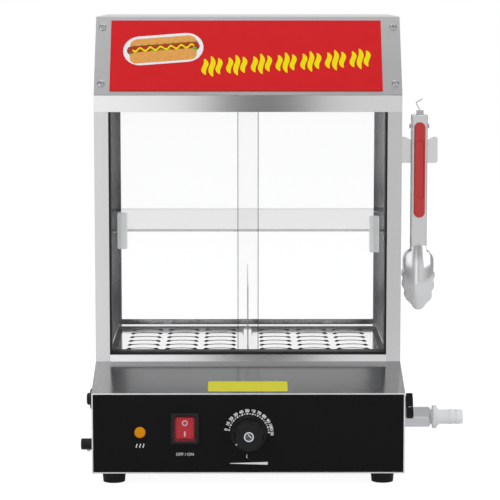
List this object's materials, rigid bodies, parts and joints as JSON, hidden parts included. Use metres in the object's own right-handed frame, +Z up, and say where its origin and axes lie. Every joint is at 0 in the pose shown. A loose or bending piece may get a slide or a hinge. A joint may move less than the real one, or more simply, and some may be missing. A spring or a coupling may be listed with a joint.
{
  "type": "hot dog steamer",
  "caption": "Countertop hot dog steamer: glass cabinet with sliding doors, steam grates over a heated tank, a bun shelf, dial and switch in the base, a side drain valve and hanging tongs.",
  "frame": {"origin": "on the table plane under the centre of the base's footprint, midway between the base's side walls and between its front and back", "axes": "+X to the user's right, +Y to the back of the cabinet, +Z up"},
  "size_m": [0.4705, 0.3877, 0.5424],
  "materials": {
    "stainless": "brushed",
    "black_panel": "satin",
    "black_rubber": "matte",
    "zinc": "satin",
    "black_plastic": "matte",
    "clear_vinyl": "clear",
    "amber_lens": "gloss",
    "knob_black": "satin",
    "bright_cap": "polished",
    "red_rocker": "gloss",
    "copper": "satin",
    "white_plastic": "satin",
    "element_steel": "satin",
    "plated_brass": "satin",
    "red_sign": "gloss",
    "clear_glass": "clear",
    "frosted_pull": "frosted",
    "tongs_steel": "satin",
    "red_grip": "matte"
  },
  "bodies": {
    "cabinet": {"base_floor": "stainless", "base_housing": "stainless", "bottom_rail": "stainless", "bun_shelf": "clear_glass", "cabinet_side_left": "stainless", "cabinet_side_right": "stainless", "control_panel": "black_panel", "cord_gland": "black_plastic", "deck_plate": "stainless", "door_jambs": "black_plastic", "door_track_lower": "black_plastic", "door_track_upper": "black_plastic", "drain_pipe": "stainless", "drain_valve_body": "plated_brass", "foot_screws": "zinc", "grate_center_rail": "stainless", "ground_stud": "zinc", "heating_element": "element_steel", "hood": "stainless", "hose_barb": "white_plastic", "limit_thermostat": "black_plastic", "pan_head_screws": "zinc", "pilot_lamp_body": "black_plastic", "pilot_lamp_lens": "amber_lens", "power_switch_body": "black_plastic", "rear_frame": "stainless", "rear_glass": "clear_glass", "reset_cap": "black_plastic", "rubber_feet": "black_rubber", "shelf_brackets": "stainless", "sign_panel": "red_sign", "sign_screws": "zinc", "switch_boot": "clear_vinyl", "terminal_block": "white_plastic", "thermostat_body": "zinc", "thermostat_capillary": "copper", "tongs_holder": "stainless", "top_rail": "stainless", "water_tank": "stainless"},
    "left_door": {"left_door_glass": "clear_glass", "left_door_handle": "frosted_pull"},
    "right_door": {"right_door_glass": "clear_glass", "right_door_handle": "frosted_pull"},
    "thermostat_dial": {"thermostat_spindle": "zinc", "thermostat_knob": "knob_black", "knob_cap": "bright_cap"},
    "power_rocker": {"power_switch_rocker": "red_rocker"},
    "valve_handle": {"drain_valve_ball": "bright_cap", "drain_valve_lever": "zinc", "drain_lever_grip": "black_rubber"},
    "left_grate": {"grate_left": "stainless"},
    "right_grate": {"grate_right": "stainless"},
    "divider": {"divider_plate": "stainless"},
    "tongs": {"tongs_front_arm": "tongs_steel", "tongs_front_grip": "red_grip", "tongs_pivot_pin": "zinc", "tongs_spring": "zinc"},
    "tongs_rear": {"tongs_rear_arm": "tongs_steel", "tongs_rear_grip": "red_grip"},
    "tongs_pull": {"tongs_lock_pull": "zinc"}
  },
  "joints": [
    {"name": "left_door_slide", "type": "slide", "parent": "cabinet", "child": "left_door", "axis": [1, 0, 0], "range_m": [0, 0.15]},
    {"name": "right_door_slide", "type": "slide", "parent": "cabinet", "child": "right_door", "axis": [1, 0, 0], "range_m": [-0.15, 0]},
    {"name": "thermostat_knob_turn", "type": "hinge", "parent": "cabinet", "child": "thermostat_dial", "pos_m": [0.0006, -0.19, 0.0614], "axis": [0, 1, 0], "range_deg": [0, 218]},
    {"name": "power_rocker_tilt", "type": "hinge", "parent": "cabinet", "child": "power_rocker", "pos_m": [-0.0739, -0.1815, 0.0678], "axis": [1, 0, 0], "range_deg": [0, 14]},
    {"name": "drain_lever_turn", "type": "hinge", "parent": "cabinet", "child": "valve_handle", "pos_m": [0.2025, 0.017, 0.0413], "axis": [0, -0.788, 0.6157], "range_deg": [-90, 0]},
    {"name": "left_grate_lift", "type": "slide", "parent": "cabinet", "child": "left_grate", "axis": [0, 0, 1], "range_m": [0, 0.06]},
    {"name": "right_grate_lift", "type": "slide", "parent": "cabinet", "child": "right_grate", "axis": [0, 0, 1], "range_m": [0, 0.06]},
    {"name": "divider_lift", "type": "slide", "parent": "cabinet", "child": "divider", "axis": [0, 0, 1], "range_m": [0, 0.06]},
    {"name": "tongs_lift", "type": "slide", "parent": "cabinet", "child": "tongs", "axis": [0.7071, 0, 0.7071], "range_m": [0, 0.085]},
    {"name": "tongs_open", "type": "hinge", "parent": "tongs", "child": "tongs_rear", "pos_m": [0.2125, 0.02, 0.407], "axis": [1, 0, 0], "range_deg": [-4, 20]},
    {"name": "tongs_lock_slide", "type": "slide", "parent": "tongs", "child": "tongs_pull", "axis": [0, 0, 1], "range_m": [0, 0.006]}
  ]
}
